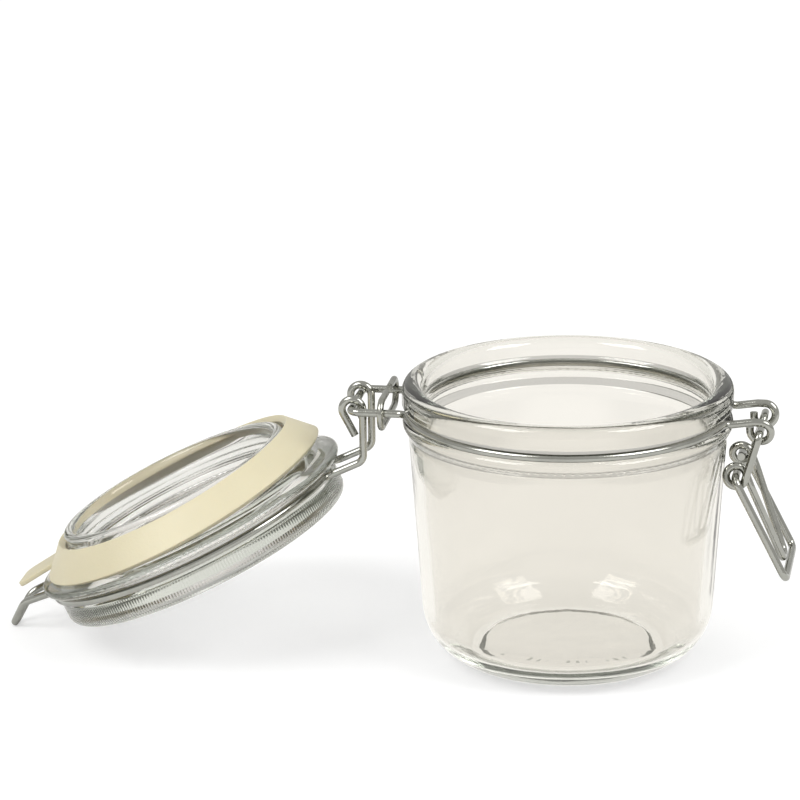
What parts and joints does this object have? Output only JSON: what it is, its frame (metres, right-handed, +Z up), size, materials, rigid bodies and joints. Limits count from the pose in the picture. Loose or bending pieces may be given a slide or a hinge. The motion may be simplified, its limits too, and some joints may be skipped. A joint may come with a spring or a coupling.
{
  "type": "clip-top jar",
  "caption": "Empty clip-top preserving jar standing open: clear glass body, domed glass lid with a cream rubber ring hanging from its wire hinge, wire lever and link hanging at the front.",
  "frame": {"origin": "on the table under the jar's axis, in the middle of its foot ring", "axes": "+X from the hinge towards the clasp, +Z up"},
  "size_m": [0.2378, 0.0986, 0.0848],
  "materials": {
    "glass": "clear pressed glass, gloss",
    "seal": "cream rubber, satin",
    "wire": "bright drawn spring wire",
    "tie": "softer plain wire"
  },
  "bodies": {
    "jar": {"jar_glass": "glass", "neck_wire": "wire", "hinge_tie": "tie"},
    "lid": {"lid_glass": "glass", "gasket": "seal", "lid_wire": "wire"},
    "lever": {"lever": "wire"},
    "link": {"link": "wire"}
  },
  "joints": [
    {"name": "lid_hinge", "type": "hinge", "parent": "jar", "child": "lid", "pos_m": [-0.063, 0, 0.0759], "axis": [0, 1, 0], "range_deg": [0, 205]},
    {"name": "lever_pivot", "type": "hinge", "parent": "jar", "child": "lever", "pos_m": [0.0573, 0, 0.0737], "axis": [0, -1, 0], "range_deg": [0, 135]},
    {"name": "link_pivot", "type": "hinge", "parent": "lever", "child": "link", "pos_m": [0.0506, 0, 0.0607], "axis": [0, -1, 0], "range_deg": [-20, 60]}
  ]
}
